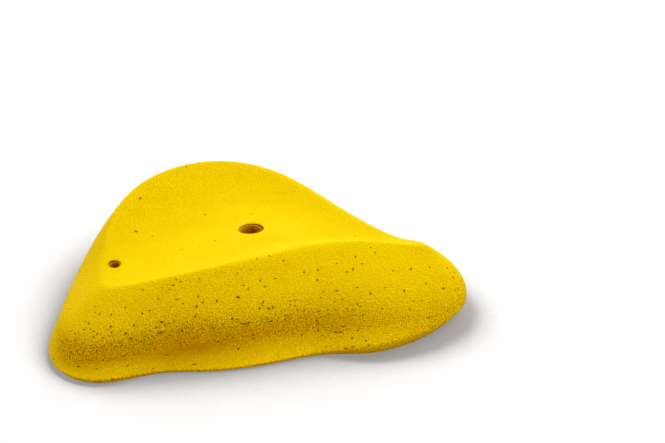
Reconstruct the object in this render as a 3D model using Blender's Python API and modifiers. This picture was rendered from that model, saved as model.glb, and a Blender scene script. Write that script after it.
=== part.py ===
"""Large bolt-on climbing hold, cast in polyurethane, with its two moulded-in steel washers.

The hold lies on its back: the back plane is z = 0, +Z points out of the climbing wall, X runs
along the hold and the axis of its fixing bolt is the Z axis. Sizes are in millimetres and are
turned into metres where a mesh is made.
"""

import math
from collections import namedtuple

import bmesh
import bpy
from mathutils import Vector

MM = 0.001

# Overall size of the hold. Its sections are drawn for DRAWN_SIZE and stretched from there.
LENGTH = 313.0
WIDTH = 229.0
HEIGHT = 70.0
DRAWN_SIZE = (313.0, 229.0, 70.0)

# Bolt hole: a socket-head bolt goes in from the front and clamps on the bolt washer.
BOLT_HOLE_D = 11.0
BOLT_BORE_D = 17.0
BOLT_MOUTH_D = 19.0
BOLT_MOUTH_DEPTH = 2.6
BOLT_MOUTH_Z = 55.0 * HEIGHT / DRAWN_SIZE[2]
BOLT_WASHER_D = 26.0
BOLT_WASHER_T = 2.5
BOLT_SEAT_Z = 20.0
BOLT_BOSS_D = 46.0

# Set-screw hole near the left corner: a wood screw there keeps the hold from turning.
SCREW_X = -105.0 * LENGTH / DRAWN_SIZE[0]
SCREW_Y = -21.0 * WIDTH / DRAWN_SIZE[1]
SCREW_HOLE_D = 6.0
SCREW_BORE_D = 8.0
SCREW_MOUTH_D = 9.4
SCREW_MOUTH_DEPTH = 1.6
SCREW_MOUTH_Z = 49.5 * HEIGHT / DRAWN_SIZE[2]
SCREW_WASHER_D = 14.0
SCREW_WASHER_T = 1.5
SCREW_SEAT_Z = 14.0
SCREW_BOSS_D = 30.0

# Cored back: one wall all round, a roof under the top surface, and ribs out from the bolt boss. The wall is
# drawn in towards the bolt axis, and further where a section lies slantwise, to at most WALL / WALL_SLANT.
WALL = 14.0
WALL_SLANT = 0.65
ROOF = 11.0
SHOULDER_DROP = 0.6
RIB_T = 8.0
RIB_BEARINGS = (-148.0, -95.0, -36.0, 20.0, 82.0, 138.0)

# Fit of the moulded-in washers, and how far a cutter runs past the solid.
CLEARANCE = 0.3
OVERRUN = 6.0
WASHER_EDGE = 0.4

# Turned pieces and the levels of the soft forms.
TURN_STEPS = 40
BODY_LEVELS = 2
CORE_LEVELS = 1

# Under the lip the body is drawn in to the back plane by this much for each millimetre of lip height.
TUCK_SLOPE = 0.8
# Sharpness of the rings of the cage from the back plane up: the back plane's edge, then the lip.
BODY_CREASES = (1.0, 0.4)
CORE_CREASES = (1.0,)
# The middle of the top is one ring of this radius round the bolt axis, which falls away from the ridge.
CENTRE_R = 15.0
CENTRE_SLOPE = 0.13
# How far along the section, from the crest out to the lip, the shoulder and the flank lie.
SHOULDER_AT = 0.34
FLANK_AT = 0.62
# How far along the top, from the crest in to the centre ring, the two rings of the dish lie.
DISH_AT = (0.34, 0.68)

# Sections of the body, counterclockwise from the right nose, drawn for a hold of DRAWN_SIZE. crest is the
# highest point of the section and lip its widest point, both as (x, y, z). bulge and belly move the
# shoulder and the flank out, groove draws the waist in, waist is how far along it lies from the crest out
# to the lip, dish holds the heights of the two rings of the top, edge is the softness of the crest.
Section = namedtuple("Section", "crest lip bulge belly groove waist dish edge")
SECTIONS = (
    # The nose at the right end.
    Section((121, -57, 60), (156, -66, 10), 11, 11, -7, 0.82, (56.0, 54.9), 10),
    Section((122, -50, 58.5), (156, -46, 9), 9, 9, -6, 0.82, (55.9, 54.8), 9),
    # The far rim, from the nose over the apex to the left side.
    Section((105, -41, 56.5), (137, -20, 6), 8, 8, -4, 0.82, (55.9, 54.6), 7),
    Section((84, -15, 60), (113, 13, 4), 7, 7, -4, 0.82, (55.9, 54.1), 7),
    Section((64, 20, 62), (89, 50, 4), 7, 7, -4, 0.82, (55.7, 53.2), 7),
    Section((39, 64, 66), (60, 93, 4), 7, 7, -4, 0.82, (56.5, 52.3), 7),
    Section((5, 90, 69), (10, 120, 4), 8, 8, -4, 0.82, (56.4, 51.1), 7),
    Section((-33, 92, 71), (-44, 121, 4), 8, 8, -4, 0.82, (55.0, 49.5), 6),
    Section((-70, 73, 71.5), (-91, 100, 4), 7, 7, -4, 0.82, (51.5, 47.3), 6),
    Section((-95, 42, 69), (-119, 64, 4), 6, 6, -3, 0.82, (47.5, 46.0), 5),
    # The left side, which drops past the set-screw hole to the left corner.
    Section((-109, 12, 58), (-135, 26, 4), 6, 6, -3, 0.82, (46.0, 47.0), 6),
    Section((-113, -12, 50), (-149, -10, 4), 7, 7, -3, 0.82, (47.6, 50.0), 8),
    Section((-116, -36, 48), (-159, -46, 4), 9, 9, -1, 0.86, (48.6, 51.2), 7),
    Section((-115, -53, 50), (-159, -73, 4), 9, 11, 4, 0.9, (50.0, 52.0), 6),
    # The front: a ridge over a face that ends in a thumb groove and a thin flared lip.
    Section((-106, -58, 52), (-144, -96, 4), 10, 12, 10, 0.9, (51.3, 52.6), 6),
    Section((-92, -61, 55), (-119, -106, 5), 9, 11, 17, 0.86, (52.7, 53.3), 6),
    Section((-66, -62, 59), (-84, -95, 3), 11, 10, 20, 0.82, (55.1, 54.3), 7),
    Section((-34, -60, 62), (-50, -104, 3), 11, 9, 21, 0.82, (57.1, 55.5), 7),
    Section((-2, -54, 63), (-18, -105, 3), 11, 9, 19, 0.82, (57.8, 56.0), 8),
    Section((28, -47, 63), (14, -101, 3), 11, 9, 13, 0.82, (57.8, 56.0), 9),
    Section((56, -44, 63), (40, -99, 4), 12, 9, 3, 0.82, (58.0, 55.8), 10),
    Section((82, -48, 63), (69, -114, 11), 12, 9, 1, 0.82, (57.6, 55.9), 10),
    Section((103, -53, 61), (107, -107, 13), 13, 12, -6, 0.82, (56.8, 55.6), 10),
    Section((116, -58, 60), (139, -87, 12), 12, 12, -8, 0.82, (56.2, 55.2), 10),
)

URETHANE = ("urethane_yellow", (0.95, 0.66, 0.004), 0.0, 0.62)
STEEL = ("zinc_steel", (0.60, 0.60, 0.58), 1.0, 0.38)


def clear_scene():
    """Remove what the scene holds, so that the script can be run again."""
    for old in list(bpy.data.objects):
        bpy.data.objects.remove(old, do_unlink=True)
    for old in list(bpy.data.collections):
        bpy.data.collections.remove(old)


def new_collection(name):
    made = bpy.data.collections.new(name)
    bpy.context.scene.collection.children.link(made)
    return made


def new_material(name, colour, metallic, roughness):
    made = bpy.data.materials.new(name)
    made.use_nodes = True
    shader = made.node_tree.nodes["Principled BSDF"]
    shader.inputs["Base Color"].default_value = (*colour, 1.0)
    shader.inputs["Metallic"].default_value = metallic
    shader.inputs["Roughness"].default_value = roughness
    made.diffuse_color = (*colour, 1.0)
    return made


def object_from(bm, name, collection, material=None):
    """Make an object of a bmesh that is in millimetres."""
    bmesh.ops.scale(bm, vec=(MM, MM, MM), verts=bm.verts)
    mesh = bpy.data.meshes.new(name)
    bm.to_mesh(mesh)
    bm.free()
    made = bpy.data.objects.new(name, mesh)
    collection.objects.link(made)
    if material:
        mesh.materials.append(material)
    return made


def as_cutter(made):
    made.hide_render = True
    made.display_type = "WIRE"
    return made


def add_subdivision(made, levels):
    soft = made.modifiers.new("Subdivision", "SUBSURF")
    soft.levels = levels
    soft.render_levels = levels


def subtract(made, cutter):
    cut = made.modifiers.new("Cut " + cutter.name, "BOOLEAN")
    cut.operation = "DIFFERENCE"
    cut.solver = "EXACT"
    cut.object = cutter


def stretched(section):
    """The section for a hold of the wanted size."""
    x, y, z = (wanted / drawn for wanted, drawn in zip((LENGTH, WIDTH, HEIGHT), DRAWN_SIZE))
    crest = (section.crest[0] * x, section.crest[1] * y, section.crest[2] * z)
    lip = (section.lip[0] * x, section.lip[1] * y, section.lip[2] * z)
    dish = [height * z for height in section.dish]
    return section._replace(crest=crest, lip=lip, dish=dish)


def outward(section):
    """The level unit vector that points from the crest out to the lip."""
    across = Vector(section.lip) - Vector(section.crest)
    across.z = 0.0
    return across.normalized()


def along(section, share, offset):
    """A point on the straight line from crest to lip, moved outward by offset."""
    return Vector(section.crest).lerp(Vector(section.lip), share) + outward(section) * offset


def centre_point(section):
    """Where the section meets the ring round the bolt axis."""
    level = Vector((section.lip[0], section.lip[1], 0.0)).normalized() * CENTRE_R
    return Vector((level.x, level.y, BOLT_MOUTH_Z - CENTRE_SLOPE * level.y))


def dish_points(section):
    """The points on the top between the crest and the centre ring."""
    points = [Vector(section.crest).lerp(centre_point(section), share) for share in DISH_AT]
    for point, height in zip(points, section.dish):
        point.z = height
    return points


def inset(section, point):
    """The point moved level towards the bolt axis until it lies one wall inside the section."""
    radial = Vector((point.x, point.y, 0.0)).normalized()
    slant = max(radial.dot(outward(section)), WALL_SLANT)
    return point - radial * WALL / slant


def body_section(section):
    """The points of one section of the body, from the back plane up and in to the centre."""
    crest = Vector(section.crest)
    lip = Vector(section.lip)
    base = lip - outward(section) * lip.z * TUCK_SLOPE
    base.z = 0.0
    waist = along(section, section.waist, -section.groove)
    flank = along(section, FLANK_AT, section.belly)
    shoulder = along(section, SHOULDER_AT, section.bulge)
    dish = dish_points(section)
    brow = crest + (shoulder - crest).normalized() * section.edge
    brink = crest + (dish[0] - crest).normalized() * section.edge
    return [base, lip, waist, flank, shoulder, brow, crest, brink, *dish, centre_point(section)]


def core_section(section):
    """The points of one section of the hollow, from below the back plane up and in."""
    roof = Vector((0.0, 0.0, -ROOF))
    waist = inset(section, along(section, section.waist, -section.groove))
    flank = inset(section, along(section, FLANK_AT, section.belly))
    shoulder = inset(section, along(section, SHOULDER_AT, section.bulge)) + roof * SHOULDER_DROP
    crown = inset(section, Vector(section.crest)) + roof
    foot = Vector((waist.x, waist.y, -OVERRUN))
    dish = [point + roof for point in dish_points(section)]
    return [foot, waist, flank, shoulder, crown, *dish, centre_point(section) + roof]


def lofted(sections, creases):
    """Join the sections, which are lists of points of one length, into a closed cage."""
    bm = bmesh.new()
    rows = [[bm.verts.new(point) for point in section] for section in sections]
    count = len(rows)
    for i, row in enumerate(rows):
        other = rows[(i + 1) % count]
        for j in range(len(row) - 1):
            bm.faces.new((row[j], other[j], other[j + 1], row[j + 1]))
    bm.faces.new([row[0] for row in reversed(rows)])
    bm.faces.new([row[-1] for row in rows])
    crease = bm.edges.layers.float.new("crease_edge")
    for ring, sharpness in enumerate(creases):
        for i, row in enumerate(rows):
            bm.edges.get((row[ring], rows[(i + 1) % count][ring]))[crease] = sharpness
    return bm


def turned(profile, name, collection, material=None):
    """Turn a profile of (radius, z) points, which runs down its outer side, about the Z axis."""
    bm = bmesh.new()
    points = [bm.verts.new((radius, 0.0, z)) for radius, z in profile]
    for a, b in zip(points, points[1:]):
        bm.edges.new((a, b))
    if profile[0][0] > 0.0:
        bm.edges.new((points[-1], points[0]))
    made = object_from(bm, name, collection, material)
    screw = made.modifiers.new("Screw", "SCREW")
    screw.axis = "Z"
    screw.angle = 2.0 * math.pi
    screw.steps = TURN_STEPS
    screw.render_steps = TURN_STEPS
    screw.use_merge_vertices = True
    screw.merge_threshold = 1e-5
    return made


def washer(name, outer_d, hole_d, thickness, seat_z, collection, material):
    """A flat steel washer with broken edges, lying on its seat."""
    outer = outer_d / 2.0
    hole = hole_d / 2.0
    low = seat_z
    high = seat_z + thickness
    profile = [
        (hole, high),
        (outer - WASHER_EDGE, high),
        (outer, high - WASHER_EDGE),
        (outer, low),
        (hole, low),
    ]
    return turned(profile, name, collection, material)


def stepped_hole(name, sizes, collection):
    """The cutter for a hole from the front: a mouth, a bore, the washer's groove and a through hole."""
    mouth_d, mouth_z, bore_d, washer_d, washer_t, seat_z, hole_d = sizes
    groove_r = washer_d / 2.0 + CLEARANCE
    groove_top = seat_z + washer_t + CLEARANCE
    groove_low = seat_z - CLEARANCE
    top = mouth_z + 4.0 * OVERRUN
    profile = [
        (0.0, top),
        (mouth_d / 2.0, top),
        (mouth_d / 2.0, mouth_z),
        (bore_d / 2.0, mouth_z),
        (bore_d / 2.0, groove_top),
        (groove_r, groove_top),
        (groove_r, groove_low),
        (hole_d / 2.0, groove_low),
        (hole_d / 2.0, -OVERRUN),
        (0.0, -OVERRUN),
    ]
    return as_cutter(turned(profile, name, collection))


def boss(name, diameter, x, y, collection):
    """The round pillar that stays solid round a hole."""
    bm = bmesh.new()
    bmesh.ops.create_cone(
        bm,
        cap_ends=True,
        segments=TURN_STEPS,
        radius1=diameter / 2.0,
        radius2=diameter / 2.0,
        depth=2.0 * (BOLT_MOUTH_Z + OVERRUN),
    )
    bmesh.ops.translate(bm, vec=(x, y, 0.0), verts=bm.verts)
    return as_cutter(object_from(bm, name, collection))


def rib(bearing, length, collection):
    """One rib: an upright slab from the bolt axis outward."""
    bm = bmesh.new()
    bmesh.ops.create_cube(bm, size=1.0)
    bmesh.ops.scale(bm, vec=(length, RIB_T, 2.0 * (BOLT_MOUTH_Z + OVERRUN)), verts=bm.verts)
    bmesh.ops.translate(bm, vec=(length / 2.0, 0.0, 0.0), verts=bm.verts)
    made = object_from(bm, f"rib_{bearing:+.0f}", collection)
    made.rotation_euler.z = math.radians(bearing)
    return as_cutter(made)


def build():
    clear_scene()
    hold = new_collection("climbing_hold")
    cutters = new_collection("cutters")
    urethane = new_material(*URETHANE)
    steel = new_material(*STEEL)

    sections = [stretched(section) for section in SECTIONS]
    core = object_from(lofted([core_section(s) for s in sections], CORE_CREASES), "core", cutters)
    as_cutter(core)
    add_subdivision(core, CORE_LEVELS)
    reach = max(Vector(s.lip).length for s in sections)
    kept_solid = [rib(bearing, reach, cutters) for bearing in RIB_BEARINGS]
    kept_solid.append(boss("bolt_boss", BOLT_BOSS_D, 0.0, 0.0, cutters))
    kept_solid.append(boss("screw_boss", SCREW_BOSS_D, SCREW_X, SCREW_Y, cutters))
    for keeper in kept_solid:
        subtract(core, keeper)

    bolt_sizes = (BOLT_MOUTH_D, BOLT_MOUTH_Z - BOLT_MOUTH_DEPTH, BOLT_BORE_D)
    bolt_sizes += (BOLT_WASHER_D, BOLT_WASHER_T, BOLT_SEAT_Z, BOLT_HOLE_D)
    bolt_hole = stepped_hole("bolt_hole", bolt_sizes, cutters)
    screw_sizes = (SCREW_MOUTH_D, SCREW_MOUTH_Z - SCREW_MOUTH_DEPTH, SCREW_BORE_D)
    screw_sizes += (SCREW_WASHER_D, SCREW_WASHER_T, SCREW_SEAT_Z, SCREW_HOLE_D)
    screw_hole = stepped_hole("screw_hole", screw_sizes, cutters)
    screw_hole.location = (SCREW_X * MM, SCREW_Y * MM, 0.0)

    cage = lofted([body_section(s) for s in sections], BODY_CREASES)
    body = object_from(cage, "hold_body", hold, urethane)
    add_subdivision(body, BODY_LEVELS)
    for cutter in (core, bolt_hole, screw_hole):
        subtract(body, cutter)
    body.data.shade_smooth()

    washer("bolt_washer", BOLT_WASHER_D, BOLT_HOLE_D, BOLT_WASHER_T, BOLT_SEAT_Z, hold, steel)
    screw_washer = washer(
        "set_screw_washer", SCREW_WASHER_D, SCREW_HOLE_D, SCREW_WASHER_T, SCREW_SEAT_Z, hold, steel
    )
    screw_washer.location = (SCREW_X * MM, SCREW_Y * MM, 0.0)


build()
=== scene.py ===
"""The look of the climbing hold: its cast body with rounded hole mouths, blow holes and grain,
two zinc-plated washers, a pale floor, studio light and the camera.
"""

import math
import random
from collections import namedtuple

import bmesh
import bpy
from mathutils import Matrix, Vector
from mathutils.kdtree import KDTree


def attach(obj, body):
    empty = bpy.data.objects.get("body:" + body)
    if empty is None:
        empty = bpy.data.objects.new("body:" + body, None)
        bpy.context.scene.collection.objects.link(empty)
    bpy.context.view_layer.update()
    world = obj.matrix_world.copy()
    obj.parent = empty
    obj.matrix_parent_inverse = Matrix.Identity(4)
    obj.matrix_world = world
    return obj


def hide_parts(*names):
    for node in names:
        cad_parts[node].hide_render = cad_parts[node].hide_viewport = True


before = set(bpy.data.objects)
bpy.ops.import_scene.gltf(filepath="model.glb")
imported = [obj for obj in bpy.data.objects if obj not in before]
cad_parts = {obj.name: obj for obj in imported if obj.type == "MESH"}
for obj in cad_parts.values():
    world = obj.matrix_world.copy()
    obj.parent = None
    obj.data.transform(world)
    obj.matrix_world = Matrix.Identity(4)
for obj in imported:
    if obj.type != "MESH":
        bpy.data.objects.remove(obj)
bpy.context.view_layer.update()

MM = 0.001

# Holes, in millimetres, as on the CAD model. Here their mouths get a rounded rim.
Hole = namedtuple("Hole", "x y mouth_r rim mouth_z bore_r groove_r groove_top groove_low hole_r")
BOLT_HOLE = Hole(0.0, 0.0, 9.5, 1.3, 52.4, 8.5, 13.3, 22.8, 19.7, 5.5)
SCREW_HOLE = Hole(-105.0, -21.0, 4.7, 0.9, 47.9, 4.0, 7.3, 15.8, 13.7, 3.0)

# Form of the body, in millimetres and as on the CAD model. How far along a section, from the crest out to
# the lip, the shoulder and the flank lie, and how far in from the crest the two rings of the top.
TUCK_SLOPE = 0.8
BODY_CREASES = (1.0, 0.4)
CORE_CREASES = (1.0,)
CENTRE_R = 15.0
CENTRE_Z = 55.0
CENTRE_SLOPE = 0.13
SHOULDER_AT = 0.34
FLANK_AT = 0.62
DISH_AT = (0.34, 0.68)
FORM_LEVELS = 4
CORE_LEVELS = 1

# Sections of the body, counterclockwise from the right nose. crest is the highest point of the section and
# lip its widest point, both as (x, y, z). bulge and belly move the shoulder and the flank out, groove
# draws the waist in, waist is how far along it lies from the crest out to the lip, dish holds the heights
# of the two rings of the top, edge is the softness of the crest.
Section = namedtuple("Section", "crest lip bulge belly groove waist dish edge")
SECTIONS = (
    # The nose at the right end.
    Section((121, -57, 60), (156, -66, 10), 11, 11, -7, 0.82, (56.0, 54.9), 10),
    Section((122, -50, 58.5), (156, -46, 9), 9, 9, -6, 0.82, (55.9, 54.8), 9),
    # The far rim, from the nose over the apex to the left side.
    Section((105, -41, 56.5), (137, -20, 6), 8, 8, -4, 0.82, (55.9, 54.6), 7),
    Section((84, -15, 60), (113, 13, 4), 7, 7, -4, 0.82, (55.9, 54.1), 7),
    Section((64, 20, 62), (89, 50, 4), 7, 7, -4, 0.82, (55.7, 53.2), 7),
    Section((39, 64, 66), (60, 93, 4), 7, 7, -4, 0.82, (56.5, 52.3), 7),
    Section((5, 90, 69), (10, 120, 4), 8, 8, -4, 0.82, (56.4, 51.1), 7),
    Section((-33, 92, 71), (-44, 121, 4), 8, 8, -4, 0.82, (55.0, 49.5), 6),
    Section((-70, 73, 71.5), (-91, 100, 4), 7, 7, -4, 0.82, (51.5, 47.3), 6),
    Section((-95, 42, 69), (-119, 64, 4), 6, 6, -3, 0.82, (47.5, 46.0), 5),
    # The left side, which drops past the set-screw hole to the left corner.
    Section((-109, 12, 58), (-135, 26, 4), 6, 6, -3, 0.82, (46.0, 47.0), 6),
    Section((-113, -12, 50), (-149, -10, 4), 7, 7, -3, 0.82, (47.6, 50.0), 8),
    Section((-116, -36, 48), (-159, -46, 4), 9, 9, -1, 0.86, (48.6, 51.2), 7),
    Section((-115, -53, 50), (-159, -73, 4), 9, 11, 4, 0.9, (50.0, 52.0), 6),
    # The front: a ridge over a face that ends in a thumb groove and a thin flared lip.
    Section((-106, -58, 52), (-144, -96, 4), 10, 12, 10, 0.9, (51.3, 52.6), 6),
    Section((-92, -61, 55), (-119, -106, 5), 9, 11, 17, 0.86, (52.7, 53.3), 6),
    Section((-66, -62, 59), (-84, -95, 3), 11, 10, 20, 0.82, (55.1, 54.3), 7),
    Section((-34, -60, 62), (-50, -104, 3), 11, 9, 21, 0.82, (57.1, 55.5), 7),
    Section((-2, -54, 63), (-18, -105, 3), 11, 9, 19, 0.82, (57.8, 56.0), 8),
    Section((28, -47, 63), (14, -101, 3), 11, 9, 13, 0.82, (57.8, 56.0), 9),
    Section((56, -44, 63), (40, -99, 4), 12, 9, 3, 0.82, (58.0, 55.8), 10),
    Section((82, -48, 63), (69, -114, 11), 12, 9, 1, 0.82, (57.6, 55.9), 10),
    Section((103, -53, 61), (107, -107, 13), 13, 12, -6, 0.82, (56.8, 55.6), 10),
    Section((116, -58, 60), (139, -87, 12), 12, 12, -8, 0.82, (56.2, 55.2), 10),
)

# Cored back, as on the CAD model.
WALL = 14.0
WALL_SLANT = 0.65
ROOF = 11.0
SHOULDER_DROP = 0.6
RIB_T = 8.0
RIB_BEARINGS = (-148.0, -95.0, -36.0, 20.0, 82.0, 138.0)
BOLT_BOSS_R = 23.0
SCREW_BOSS_R = 15.0
OVERRUN = 6.0
CUTTER_TOP = 80.0

# Mesh, in millimetres: facets of a turned form, the distance below which points are one, the height above
# which the mouths of the holes lie, and where the top is refined round them, as (reach, cuts). Edges
# steeper than the angle stay sharp.
TURN_STEPS = 96
WELD = 0.001
MOUTHS_ABOVE = 30.0
BOLT_MOUTH_CUTS = ((14.0, 1), (12.0, 1))
SCREW_MOUTH_CUTS = ((9.0, 2), (6.5, 1))
SHARP_ANGLE = math.radians(38.0)

# Blow holes of the casting: small bubbles that the surface cuts open. A higher power makes more of them
# small, and sink is how far below the surface they lie, as a share of their radius.
BUBBLE_SEED = 7
BUBBLE_COUNT = 220
BUBBLE_TRIES = 20
BUBBLE_R = (0.22, 0.44)
BUBBLE_POWER = 2.5
BUBBLE_SINK = (0.25, 0.6)
BUBBLE_GAP = 2.5
BUBBLE_HOLE_GAP = 4.0
BUBBLE_ABOVE = 4.0
BUBBLE_LOWEST_FACING = -0.1

# How thickly they lie. A face is on the front if the y of its normal and the y of its place are below
# these two values. There the nose lies beyond an x, and the lip and the groove each below a z. Behind the
# front, a face is on the top if the z of its normal is above a value.
FRONT_FACING = -0.3
FRONT_BEFORE = -45.0
NOSE_BEYOND = 70.0
LIP_BELOW = 12.0
GROOVE_BELOW = 36.0
TOP_FACING = 0.6
SHARE_ON_TOP = 0.03
SHARE_AROUND = 0.15
SHARE_ON_NOSE_AND_LIP = 0.3
SHARE_IN_GROOVE = 2.5
SHARE_ON_FRONT = 1.0

# Marks for the material, which paints shade at them: what a point in a hole and one on the wall of its
# mouth get, from which height up, and how far past the wall a point still counts, in millimetres. For a
# blow hole that is a factor.
IN_HOLE = 1.0
ON_MOUTH_WALL = 2.0
MARKS_ABOVE = 1.0
HOLE_SLACK = 0.1
PIT_SLACK = 1.02

# Polyurethane: its two tints, its pores, whose tint also paints shade, and the painted shade on the walls
# of its holes and in its blow holes.
URETHANE = (0.975, 0.715, 0.0)
URETHANE_WARM = (0.965, 0.68, 0.0)
# The pores' tint, which also paints shade on the walls of the hole mouths and deep in the holes.
URETHANE_PORE_AND_SHADE = (0.29, 0.07, 0.0)
# Painted shade on the walls of the holes.
URETHANE_BORE_SHADE = (0.90, 0.47, 0.01)
# The dark dots of the grain, and painted shade in the blow holes.
URETHANE_DOT_AND_PIT_SHADE = (0.15, 0.035, 0.0)
URETHANE_ROUGHNESS = 0.6
URETHANE_SPECULAR = 0.01
MOTTLE_SCALE = 60.0
GRAIN_SCALE = 850.0
GRAIN_HEIGHT = 0.001
PORE_SCALE = 1050.0
DOT_SCALE = 350.0

# Ranges of the polyurethane, in metres where they are places, as (from, to, value at from, value at to),
# or from 0 to 1 where no values are given. The pores show less on surfaces that face up or away from the
# front and towards the nose, and more low down: painted shade that darkens the front and the groove. The
# painted shade in the holes is fuller on steep walls and darkens deeper down.
MOTTLE_RANGE = (0.35, 0.65)
PORE_RANGE = (0.5, 0.25)
DOT_RANGE = (0.17, 0.09)
# The pores and dots by facing and place: painted shade, thicker on the front, on faces turned from up, and
# low down.
PORES_AND_SHADE_BY_UPWARD = (0.9, 0.3, 0.22, 0.8)
PORES_AND_SHADE_BY_BACKWARD = (0.0, -0.4, 0.45, 1.0)
PORES_AND_SHADE_BY_X = (-0.02, 0.06, 1.0, 0.7)
PORES_AND_SHADE_BY_Z = (0.045, 0.025, 1.0, 1.35)
# Painted shade in the holes, by facing and by height.
HOLE_SHADE_BY_UPWARD = (0.9, 0.4, 0.45, 1.0)
BORE_SHADE_BY_Z = (0.049, 0.040)

# Zinc-plated steel: its two tints, cloudy gloss and fine marks.
ZINC = (0.46, 0.46, 0.45)
ZINC_LIGHT = (0.72, 0.72, 0.69)
CLOUD_SCALE = 180.0
MARK_SCALE = 2400.0
MARK_STRENGTH = 0.25
MARK_HEIGHT = 0.00002
ZINC_ROUGHNESS = (0.3, 0.7, 0.28, 0.45)

# Studio: soft boxes as (name, bearing, elevation, watts, colour), in degrees.
WHITE = (1.0, 1.0, 1.0)
WARM = (1.0, 0.77, 0.5)
AMBER = (1.0, 0.55, 0.25)
LAMP_SIZE = 0.7
LAMP_DISTANCE = 1.6
LAMPS = (
    ("back", 0.0, 60.0, 6.2, WHITE),
    ("back_right", 45.0, 60.0, 7.2, WHITE),
    ("right", 90.0, 58.0, 10.2, WHITE),
    ("left", 270.0, 35.0, 5.6, WHITE),
    ("back_left", 315.0, 25.0, 4.0, WHITE),
    ("low_back", 0.0, 12.0, 8.8, WHITE),
    ("low_front_right", 135.0, 12.0, 7.8, WARM),
    ("low_left", 270.0, 12.0, 2.5, WARM),
    ("low_front_left", 225.0, 12.0, 4.1, AMBER),
)

# Floor: its colour, the light of its own that it shows, and its shade by how open the sky is there.
BLACK = (0.0, 0.0, 0.0)
PAPER = (0.45, 0.45, 0.46)
FLOOR_SIZE = 8.0
FLOOR_DROP = 0.0002
FLOOR_LIFT = 0.6
SHADOW_REACH = 0.1
SHADOW_FROM = (0.74, 0.93)
SHADOW_DEPTH = 0.42

# Camera: the photograph's viewing angle, and its focal length in pixels of the photograph's frame. The
# middle of the top falls on this pixel, and its scale there is in pixels a millimetre.
FRAME_PX = (665.0, 443.0)
FOCAL_PX = 1300.0
MIDDLE_PX = (251.0, 228.0)
MIDDLE_SCALE = 1.31
CAMERA_AZIMUTH = math.radians(-11.7)
CAMERA_ELEVATION = math.radians(30.0)
CAMERA_SENSOR = 36.0


def object_from(bm, name, unit=MM):
    """Make an object of a bmesh, which is in millimetres unless it has another unit."""
    bmesh.ops.scale(bm, vec=(unit, unit, unit), verts=bm.verts)
    mesh = bpy.data.meshes.new(name)
    bm.to_mesh(mesh)
    bm.free()
    made = bpy.data.objects.new(name, mesh)
    bpy.context.scene.collection.objects.link(made)
    return made


def settled(made):
    """Turn the object's modifiers into its mesh."""
    graph = bpy.context.evaluated_depsgraph_get()
    mesh = bpy.data.meshes.new_from_object(made.evaluated_get(graph))
    old = made.data
    made.modifiers.clear()
    made.data = mesh
    bpy.data.meshes.remove(old)
    return made


def discard(made):
    mesh = made.data
    bpy.data.objects.remove(made)
    bpy.data.meshes.remove(mesh)


def softened(made, levels):
    soft = made.modifiers.new("Subdivision", "SUBSURF")
    soft.levels = levels
    soft.render_levels = levels
    return settled(made)


def subtract(made, cutters):
    for cutter in cutters:
        cut = made.modifiers.new("Cut", "BOOLEAN")
        cut.operation = "DIFFERENCE"
        cut.solver = "MANIFOLD"
        cut.object = cutter
        settled(made)
        discard(cutter)
    return made


def outward(section):
    """The level unit vector that points from the crest out to the lip."""
    across = Vector(section.lip) - Vector(section.crest)
    across.z = 0.0
    return across.normalized()


def along(section, share, offset):
    """A point on the straight line from crest to lip, moved outward by offset."""
    return Vector(section.crest).lerp(Vector(section.lip), share) + outward(section) * offset


def centre_point(section):
    """Where the section meets the ring round the bolt axis."""
    level = Vector((section.lip[0], section.lip[1], 0.0)).normalized() * CENTRE_R
    return Vector((level.x, level.y, CENTRE_Z - CENTRE_SLOPE * level.y))


def dish_points(section):
    """The points on the top between the crest and the centre ring."""
    points = [Vector(section.crest).lerp(centre_point(section), share) for share in DISH_AT]
    for point, height in zip(points, section.dish):
        point.z = height
    return points


def inset(section, point):
    """The point moved level towards the bolt axis until it lies one wall inside the section."""
    radial = Vector((point.x, point.y, 0.0)).normalized()
    slant = max(radial.dot(outward(section)), WALL_SLANT)
    return point - radial * WALL / slant


def body_section(section):
    """The points of one section of the body, from the back plane up and in to the centre."""
    crest = Vector(section.crest)
    lip = Vector(section.lip)
    base = lip - outward(section) * lip.z * TUCK_SLOPE
    base.z = 0.0
    waist = along(section, section.waist, -section.groove)
    flank = along(section, FLANK_AT, section.belly)
    shoulder = along(section, SHOULDER_AT, section.bulge)
    dish = dish_points(section)
    brow = crest + (shoulder - crest).normalized() * section.edge
    brink = crest + (dish[0] - crest).normalized() * section.edge
    return [base, lip, waist, flank, shoulder, brow, crest, brink, *dish, centre_point(section)]


def core_section(section):
    """The points of one section of the hollow, from below the back plane up and in."""
    roof = Vector((0.0, 0.0, -ROOF))
    waist = inset(section, along(section, section.waist, -section.groove))
    flank = inset(section, along(section, FLANK_AT, section.belly))
    shoulder = inset(section, along(section, SHOULDER_AT, section.bulge)) + roof * SHOULDER_DROP
    crown = inset(section, Vector(section.crest)) + roof
    foot = Vector((waist.x, waist.y, -OVERRUN))
    dish = [point + roof for point in dish_points(section)]
    return [foot, waist, flank, shoulder, crown, *dish, centre_point(section) + roof]


def lofted(sections, creases):
    """Join the sections, which are lists of points of one length, into a closed cage."""
    bm = bmesh.new()
    rows = [[bm.verts.new(point) for point in section] for section in sections]
    count = len(rows)
    for i, row in enumerate(rows):
        other = rows[(i + 1) % count]
        for j in range(len(row) - 1):
            bm.faces.new((row[j], other[j], other[j + 1], row[j + 1]))
    bm.faces.new([row[0] for row in reversed(rows)])
    bm.faces.new([row[-1] for row in rows])
    crease = bm.edges.layers.float.new("crease_edge")
    for ring, sharpness in enumerate(creases):
        for i, row in enumerate(rows):
            bm.edges.get((row[ring], rows[(i + 1) % count][ring]))[crease] = sharpness
    return bm


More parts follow.
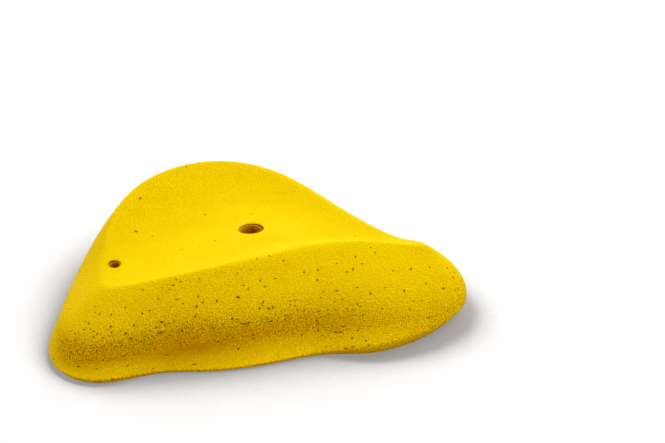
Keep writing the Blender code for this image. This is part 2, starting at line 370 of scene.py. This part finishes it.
def turned(profile, x, y, name):
    """Turn a profile of (radius, z) points, which runs down its outside, about an upright axis."""
    bm = bmesh.new()
    rings = []
    for radius, z in profile:
        if radius == 0.0:
            rings.append([bm.verts.new((x, y, z))] * TURN_STEPS)
            continue
        angles = [2.0 * math.pi * i / TURN_STEPS for i in range(TURN_STEPS)]
        points = [(x + radius * math.cos(a), y + radius * math.sin(a), z) for a in angles]
        rings.append([bm.verts.new(point) for point in points])
    for upper, lower in zip(rings, rings[1:]):
        for i in range(TURN_STEPS):
            j = (i + 1) % TURN_STEPS
            corners = dict.fromkeys((upper[i], lower[i], lower[j], upper[j]))
            bm.faces.new(tuple(corners))
    return object_from(bm, name)


def stepped_hole(hole, name):
    profile = (
        (0.0, CUTTER_TOP),
        (hole.mouth_r, CUTTER_TOP),
        (hole.mouth_r, hole.mouth_z),
        (hole.bore_r, hole.mouth_z),
        (hole.bore_r, hole.groove_top),
        (hole.groove_r, hole.groove_top),
        (hole.groove_r, hole.groove_low),
        (hole.hole_r, hole.groove_low),
        (hole.hole_r, -OVERRUN),
        (0.0, -OVERRUN),
    )
    return turned(profile, hole.x, hole.y, name)


def rib(bearing, length):
    bm = bmesh.new()
    bmesh.ops.create_cube(bm, size=1.0)
    bmesh.ops.scale(bm, vec=(length, RIB_T, 2.0 * CUTTER_TOP), verts=bm.verts)
    bmesh.ops.translate(bm, vec=(length / 2.0, 0.0, 0.0), verts=bm.verts)
    bmesh.ops.rotate(bm, matrix=Matrix.Rotation(math.radians(bearing), 3, "Z"), verts=bm.verts)
    return object_from(bm, "rib")


def boss(radius, x, y):
    profile = ((0.0, CUTTER_TOP), (radius, CUTTER_TOP), (radius, -CUTTER_TOP), (0.0, -CUTTER_TOP))
    return turned(profile, x, y, "boss")


def hollow():
    """The cored back: a soft form less the ribs and the bosses round the holes."""
    cage = lofted([core_section(s) for s in SECTIONS], CORE_CREASES)
    core = softened(object_from(cage, "core"), CORE_LEVELS)
    reach = max(Vector(s.lip).length for s in SECTIONS)
    kept = [rib(bearing, reach) for bearing in RIB_BEARINGS]
    kept.append(boss(BOLT_BOSS_R, BOLT_HOLE.x, BOLT_HOLE.y))
    kept.append(boss(SCREW_BOSS_R, SCREW_HOLE.x, SCREW_HOLE.y))
    return subtract(core, kept)


def round_mouth(bm, hole, refine):
    """Refine the top round a hole and roll its edge down into the hole."""
    for reach, cuts in refine:
        near = []
        for face in bm.faces:
            middle = face.calc_center_median()
            off = math.hypot(middle.x / MM - hole.x, middle.y / MM - hole.y)
            if off < reach and middle.z > MOUTHS_ABOVE * MM:
                near.append(face)
        edges = list({edge for face in near for edge in face.edges})
        bmesh.ops.subdivide_edges(bm, edges=edges, cuts=cuts, use_grid_fill=True)
    for vert in bm.verts:
        if vert.co.z < MOUTHS_ABOVE * MM:
            continue
        beyond = math.hypot(vert.co.x / MM - hole.x, vert.co.y / MM - hole.y) - hole.mouth_r
        if beyond < hole.rim:
            run = hole.rim - max(beyond, 0.0)
            vert.co.z -= (hole.rim - math.sqrt(max(hole.rim**2 - run**2, 0.0))) * MM


def bubble_share(point, normal):
    """How thickly the blow holes lie on a face: most in the groove, many on the front, few elsewhere."""
    if normal.y > FRONT_FACING or point.y > FRONT_BEFORE * MM:
        return SHARE_ON_TOP if normal.z > TOP_FACING else SHARE_AROUND
    if point.x > NOSE_BEYOND * MM or point.z < LIP_BELOW * MM:
        return SHARE_ON_NOSE_AND_LIP
    return SHARE_IN_GROOVE if point.z < GROOVE_BELOW * MM else SHARE_ON_FRONT


def bubbles(body):
    """Closed round voids scattered over the body's outside, each opened by the surface."""
    rng = random.Random(BUBBLE_SEED)
    mesh = body.data
    mesh.calc_loop_triangles()
    outside = [
        triangle
        for triangle in mesh.loop_triangles
        if triangle.center.z > BUBBLE_ABOVE * MM and triangle.normal.z > BUBBLE_LOWEST_FACING
    ]
    areas = []
    total = 0.0
    for triangle in outside:
        total += triangle.area * bubble_share(triangle.center, triangle.normal)
        areas.append(total)
    placed = []
    tries = 0
    while len(placed) < BUBBLE_COUNT and tries < BUBBLE_TRIES * BUBBLE_COUNT:
        tries += 1
        triangle = rng.choices(outside, cum_weights=areas)[0]
        a, b, c = (mesh.vertices[i].co for i in triangle.vertices)
        u, v = sorted((rng.random(), rng.random()))
        point = a * u + b * (v - u) + c * (1.0 - v)
        radius = (BUBBLE_R[0] + (BUBBLE_R[1] - BUBBLE_R[0]) * rng.random() ** BUBBLE_POWER) * MM
        centre = point - triangle.normal * radius * rng.uniform(*BUBBLE_SINK)
        clear_of_holes = all(
            math.hypot(centre.x / MM - hole.x, centre.y / MM - hole.y) > hole.mouth_r + BUBBLE_HOLE_GAP
            for hole in (BOLT_HOLE, SCREW_HOLE)
        )
        if clear_of_holes and all((centre - other).length > BUBBLE_GAP * MM for other, _ in placed):
            placed.append((centre, radius))
    bm = bmesh.new()
    for centre, radius in placed:
        bmesh.ops.create_icosphere(
            bm, subdivisions=2, radius=radius, matrix=Matrix.Translation(centre)
        )
    return object_from(bm, "bubbles", unit=1.0), placed


def cleaned(body):
    """Weld the surface and take out the flaps that the cuts leave, two faces on the same corners."""
    bm = bmesh.new()
    bm.from_mesh(body.data)
    bmesh.ops.remove_doubles(bm, verts=bm.verts, dist=WELD * MM)
    bmesh.ops.triangulate(bm, faces=bm.faces)
    bm.verts.index_update()
    sharing = {}
    for face in bm.faces:
        sharing.setdefault(frozenset(vert.index for vert in face.verts), []).append(face)
    flaps = [face for faces in sharing.values() if len(faces) > 1 for face in faces]
    bmesh.ops.delete(bm, geom=flaps, context="FACES")
    bm.to_mesh(body.data)
    bm.free()


def mark_holes(body):
    """Store for the material which points lie in the two holes or on the walls of their mouths, where it
    paints shade.
    """
    inside = body.data.attributes.new("bore", "FLOAT", "POINT")
    for vert in body.data.vertices:
        for hole in (BOLT_HOLE, SCREW_HOLE):
            off = math.hypot(vert.co.x / MM - hole.x, vert.co.y / MM - hole.y)
            if off < hole.mouth_r + HOLE_SLACK and vert.co.z > MARKS_ABOVE * MM:
                on_wall = off > hole.mouth_r - HOLE_SLACK
                inside.data[vert.index].value = ON_MOUTH_WALL if on_wall else IN_HOLE


def mark_pits(body, placed):
    """Store for the material which points lie in a blow hole, where it paints shade."""
    tree = KDTree(len(placed))
    for i, (centre, _) in enumerate(placed):
        tree.insert(centre, i)
    tree.balance()
    inside = body.data.attributes.new("pit", "FLOAT", "POINT")
    for vert in body.data.vertices:
        _, i, off = tree.find(vert.co)
        radius = placed[i][1]
        inside.data[vert.index].value = 1.0 if off < radius * PIT_SLACK else 0.0


def cast_body():
    cage = lofted([body_section(s) for s in SECTIONS], BODY_CREASES)
    body = softened(object_from(cage, "cast_body"), FORM_LEVELS)
    bm = bmesh.new()
    bm.from_mesh(body.data)
    round_mouth(bm, BOLT_HOLE, BOLT_MOUTH_CUTS)
    round_mouth(bm, SCREW_HOLE, SCREW_MOUTH_CUTS)
    bm.to_mesh(body.data)
    bm.free()
    voids, placed = bubbles(body)
    holes = [stepped_hole(BOLT_HOLE, "bolt_hole"), stepped_hole(SCREW_HOLE, "screw_hole")]
    subtract(body, [hollow(), *holes, voids])
    cleaned(body)
    body.data.shade_smooth()
    body.data.set_sharp_from_angle(angle=SHARP_ANGLE)
    mark_holes(body)
    mark_pits(body, placed)
    return body


def node(tree, kind, **inputs):
    """A shader node with some of its inputs set."""
    made = tree.nodes.new("ShaderNode" + kind)
    for name, value in inputs.items():
        made.inputs[name.replace("_", " ")].default_value = value
    return made


def blended(tree, factor, low, high):
    """A colour that goes from low to high with the factor, an output socket."""
    made = tree.nodes.new("ShaderNodeMix")
    made.data_type = "RGBA"
    tree.links.new(factor, made.inputs["Factor"])
    for socket, value in (("A", low), ("B", high)):
        if isinstance(value, tuple):
            made.inputs[socket].default_value = (*value, 1.0)
        else:
            tree.links.new(value, made.inputs[socket])
    return made.outputs["Result"]


def ranged(tree, value, low, high, to_low=0.0, to_high=1.0):
    """The value, an output socket, clamped to low and high and carried over to another range."""
    made = node(tree, "MapRange", From_Min=low, From_Max=high, To_Min=to_low, To_Max=to_high)
    tree.links.new(value, made.inputs["Value"])
    return made.outputs["Result"]


def combined(tree, operation, first, second):
    """The result of a maths node on two outputs, or on an output and a number."""
    made = tree.nodes.new("ShaderNodeMath")
    made.operation = operation
    for socket, value in zip(made.inputs, (first, second)):
        if isinstance(value, float):
            socket.default_value = value
        else:
            tree.links.new(value, socket)
    return made.outputs["Value"]


def straight_seen(tree):
    """1 for rays that show a surface, straight or mirrored, and 0 for those that only light one."""
    path = node(tree, "LightPath").outputs
    either = combined(tree, "MAXIMUM", path["Is Camera Ray"], path["Is Glossy Ray"])
    return combined(tree, "MAXIMUM", either, path["Is Transmission Ray"])


def urethane():
    """Cast polyurethane: yellow and matt, with a fine grain and small pores that also paint shade on the
    front, and painted shade in the blow holes and the holes.
    """
    made = bpy.data.materials.new("cast_urethane_yellow")
    made.use_nodes = True
    tree = made.node_tree
    link = tree.links.new
    shader = tree.nodes["Principled BSDF"]
    shader.inputs["Roughness"].default_value = URETHANE_ROUGHNESS
    shader.inputs["Specular IOR Level"].default_value = URETHANE_SPECULAR
    place = node(tree, "TexCoord")
    mottle = node(tree, "TexNoise", Scale=MOTTLE_SCALE, Detail=4.0)
    grain = node(tree, "TexNoise", Scale=GRAIN_SCALE, Detail=1.0, Roughness=0.5)
    pores = node(tree, "TexVoronoi", Scale=PORE_SCALE)
    dots = node(tree, "TexVoronoi", Scale=DOT_SCALE)
    for texture in (mottle, grain, pores, dots):
        link(place.outputs["Object"], texture.inputs["Vector"])
    facing = node(tree, "SeparateXYZ")
    link(place.outputs["Normal"], facing.inputs["Vector"])
    where = node(tree, "SeparateXYZ")
    link(place.outputs["Object"], where.inputs["Vector"])
    # The pores and dots are spread as painted shade: more on faces turned to the front and away from up,
    # and low down.
    pore_share_and_shade = ranged(tree, facing.outputs["Z"], *PORES_AND_SHADE_BY_UPWARD)
    for share in (
        ranged(tree, facing.outputs["Y"], *PORES_AND_SHADE_BY_BACKWARD),
        ranged(tree, where.outputs["X"], *PORES_AND_SHADE_BY_X),
        ranged(tree, where.outputs["Z"], *PORES_AND_SHADE_BY_Z),
    ):
        pore_share_and_shade = combined(tree, "MULTIPLY", pore_share_and_shade, share)
    pore_and_shade = combined(tree, "MULTIPLY", ranged(tree, pores.outputs["Distance"], *PORE_RANGE), pore_share_and_shade)
    dot = combined(tree, "MULTIPLY", ranged(tree, dots.outputs["Distance"], *DOT_RANGE), pore_share_and_shade)
    hole_shade_by_facing = ranged(tree, facing.outputs["Z"], *HOLE_SHADE_BY_UPWARD)
    bore = node(tree, "Attribute")
    bore.attribute_name = "bore"
    pit = node(tree, "Attribute")
    pit.attribute_name = "pit"
    tint = blended(tree, ranged(tree, mottle.outputs["Fac"], *MOTTLE_RANGE), URETHANE, URETHANE_WARM)
    tint = blended(tree, pore_and_shade, tint, URETHANE_PORE_AND_SHADE)
    tint = blended(tree, dot, tint, URETHANE_DOT_AND_PIT_SHADE)
    # Painted shade in the holes: orange-brown on the walls, darker deeper down and on the walls of the
    # mouths.
    hole_shade = blended(tree, ranged(tree, where.outputs["Z"], *BORE_SHADE_BY_Z), URETHANE_BORE_SHADE, URETHANE_PORE_AND_SHADE)
    on_wall = ranged(tree, bore.outputs["Fac"], IN_HOLE, ON_MOUTH_WALL)
    hole_shade = blended(tree, on_wall, hole_shade, URETHANE_PORE_AND_SHADE)
    tint = blended(tree, combined(tree, "MULTIPLY", bore.outputs["Fac"], hole_shade_by_facing), tint, hole_shade)
    # Painted shade in the blow holes.
    tint = blended(tree, pit.outputs["Fac"], tint, URETHANE_DOT_AND_PIT_SHADE)
    link(tint, shader.inputs["Base Color"])
    bump = node(tree, "Bump", Strength=1.0, Distance=GRAIN_HEIGHT)
    link(grain.outputs["Fac"], bump.inputs["Height"])
    link(bump.outputs["Normal"], shader.inputs["Normal"])
    return made


def zinc():
    """Zinc-plated steel, with a cloudy gloss and fine marks."""
    made = bpy.data.materials.new("zinc_plated_steel")
    made.use_nodes = True
    tree = made.node_tree
    link = tree.links.new
    shader = tree.nodes["Principled BSDF"]
    shader.inputs["Metallic"].default_value = 1.0
    place = node(tree, "TexCoord").outputs["Object"]
    cloud = node(tree, "TexNoise", Scale=CLOUD_SCALE, Detail=5.0)
    marks = node(tree, "TexNoise", Scale=MARK_SCALE, Detail=1.0)
    for texture in (cloud, marks):
        link(place, texture.inputs["Vector"])
    tint = blended(tree, cloud.outputs["Fac"], ZINC, ZINC_LIGHT)
    link(tint, shader.inputs["Base Color"])
    link(ranged(tree, cloud.outputs["Fac"], *ZINC_ROUGHNESS), shader.inputs["Roughness"])
    bump = node(tree, "Bump", Strength=MARK_STRENGTH, Distance=MARK_HEIGHT)
    link(marks.outputs["Fac"], bump.inputs["Height"])
    link(bump.outputs["Normal"], shader.inputs["Normal"])
    return made


def paper():
    """The pale floor: white round the hold, with its shadow, which is darkest where the two touch."""
    made = bpy.data.materials.new("white_paper")
    made.use_nodes = True
    tree = made.node_tree
    tree.nodes.clear()
    link = tree.links.new
    out = node(tree, "OutputMaterial")
    open_sky = node(tree, "AmbientOcclusion", Distance=SHADOW_REACH)
    shade = ranged(tree, open_sky.outputs["AO"], *SHADOW_FROM, SHADOW_DEPTH, 1.0)
    lit = node(tree, "BsdfDiffuse", Color=(*PAPER, 1.0))
    shaded = node(tree, "BsdfDiffuse")
    link(blended(tree, shade, BLACK, PAPER), shaded.inputs["Color"])
    lift = node(tree, "Emission", Strength=FLOOR_LIFT)
    link(blended(tree, shade, BLACK, WHITE), lift.inputs["Color"])
    both = node(tree, "AddShader")
    link(shaded.outputs["BSDF"], both.inputs[0])
    link(lift.outputs["Emission"], both.inputs[1])
    chosen = node(tree, "MixShader")
    link(straight_seen(tree), chosen.inputs["Fac"])
    link(lit.outputs["BSDF"], chosen.inputs[1])
    link(both.outputs["Shader"], chosen.inputs[2])
    link(chosen.outputs["Shader"], out.inputs["Surface"])
    return made


def floor():
    bpy.ops.mesh.primitive_plane_add(size=FLOOR_SIZE, location=(0.0, 0.0, -FLOOR_DROP))
    made = bpy.context.object
    made.name = "floor"
    made.data.materials.append(paper())


def lamp(name, bearing, elevation, power, colour):
    """A soft box aimed at the hold. Bearing 0 is behind it as the camera sees it, 90 to the right."""
    turn = math.radians(bearing) - CAMERA_AZIMUTH
    height = math.sin(math.radians(elevation))
    level = math.cos(math.radians(elevation))
    direction = Vector((math.sin(turn) * level, math.cos(turn) * level, height))
    data = bpy.data.lights.new(name, "AREA")
    data.size = LAMP_SIZE
    data.energy = power
    data.color = colour
    made = bpy.data.objects.new(name, data)
    made.location = direction * LAMP_DISTANCE
    made.rotation_euler = (-direction).to_track_quat("-Z", "Y").to_euler()
    bpy.context.scene.collection.objects.link(made)


def studio():
    """The soft boxes, and a world that shows white but gives no light."""
    for settings in LAMPS:
        lamp(*settings)
    world = bpy.data.worlds.new("studio")
    bpy.context.scene.world = world
    world.use_nodes = True
    tree = world.node_tree
    background = tree.nodes["Background"]
    background.inputs["Color"].default_value = (*WHITE, 1.0)
    tree.links.new(straight_seen(tree), background.inputs["Strength"])


def camera():
    """The camera stands where the middle of the top falls on its pixel, at its scale."""
    data = bpy.data.cameras.new("camera")
    data.sensor_width = CAMERA_SENSOR
    data.lens = CAMERA_SENSOR * FOCAL_PX / FRAME_PX[0]
    made = bpy.data.objects.new("camera", data)
    level = math.cos(CAMERA_ELEVATION)
    right = Vector((math.cos(CAMERA_AZIMUTH), math.sin(CAMERA_AZIMUTH), 0.0))
    forward = Vector((-right.y * level, right.x * level, -math.sin(CAMERA_ELEVATION)))
    up = right.cross(forward)
    across, down = ((px - size / 2.0) / FOCAL_PX for px, size in zip(MIDDLE_PX, FRAME_PX))
    middle = Vector((0.0, 0.0, CENTRE_Z * MM))
    distance = FOCAL_PX / MIDDLE_SCALE * MM
    place = middle - (forward + right * across - up * down) * distance
    turn = Matrix((right, up, -forward)).transposed()
    made.matrix_world = Matrix.Translation(place) @ turn.to_4x4()
    bpy.context.scene.collection.objects.link(made)
    bpy.context.scene.camera = made


body = cast_body()
body.data.materials.clear()
body.data.materials.append(urethane())
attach(body, "root")
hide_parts("hold_body")
steel = zinc()
for name in ("bolt_washer", "set_screw_washer"):
    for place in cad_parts[name].material_slots:
        place.material = steel
floor()
studio()
camera()
bpy.context.scene.view_settings.view_transform = "Standard"
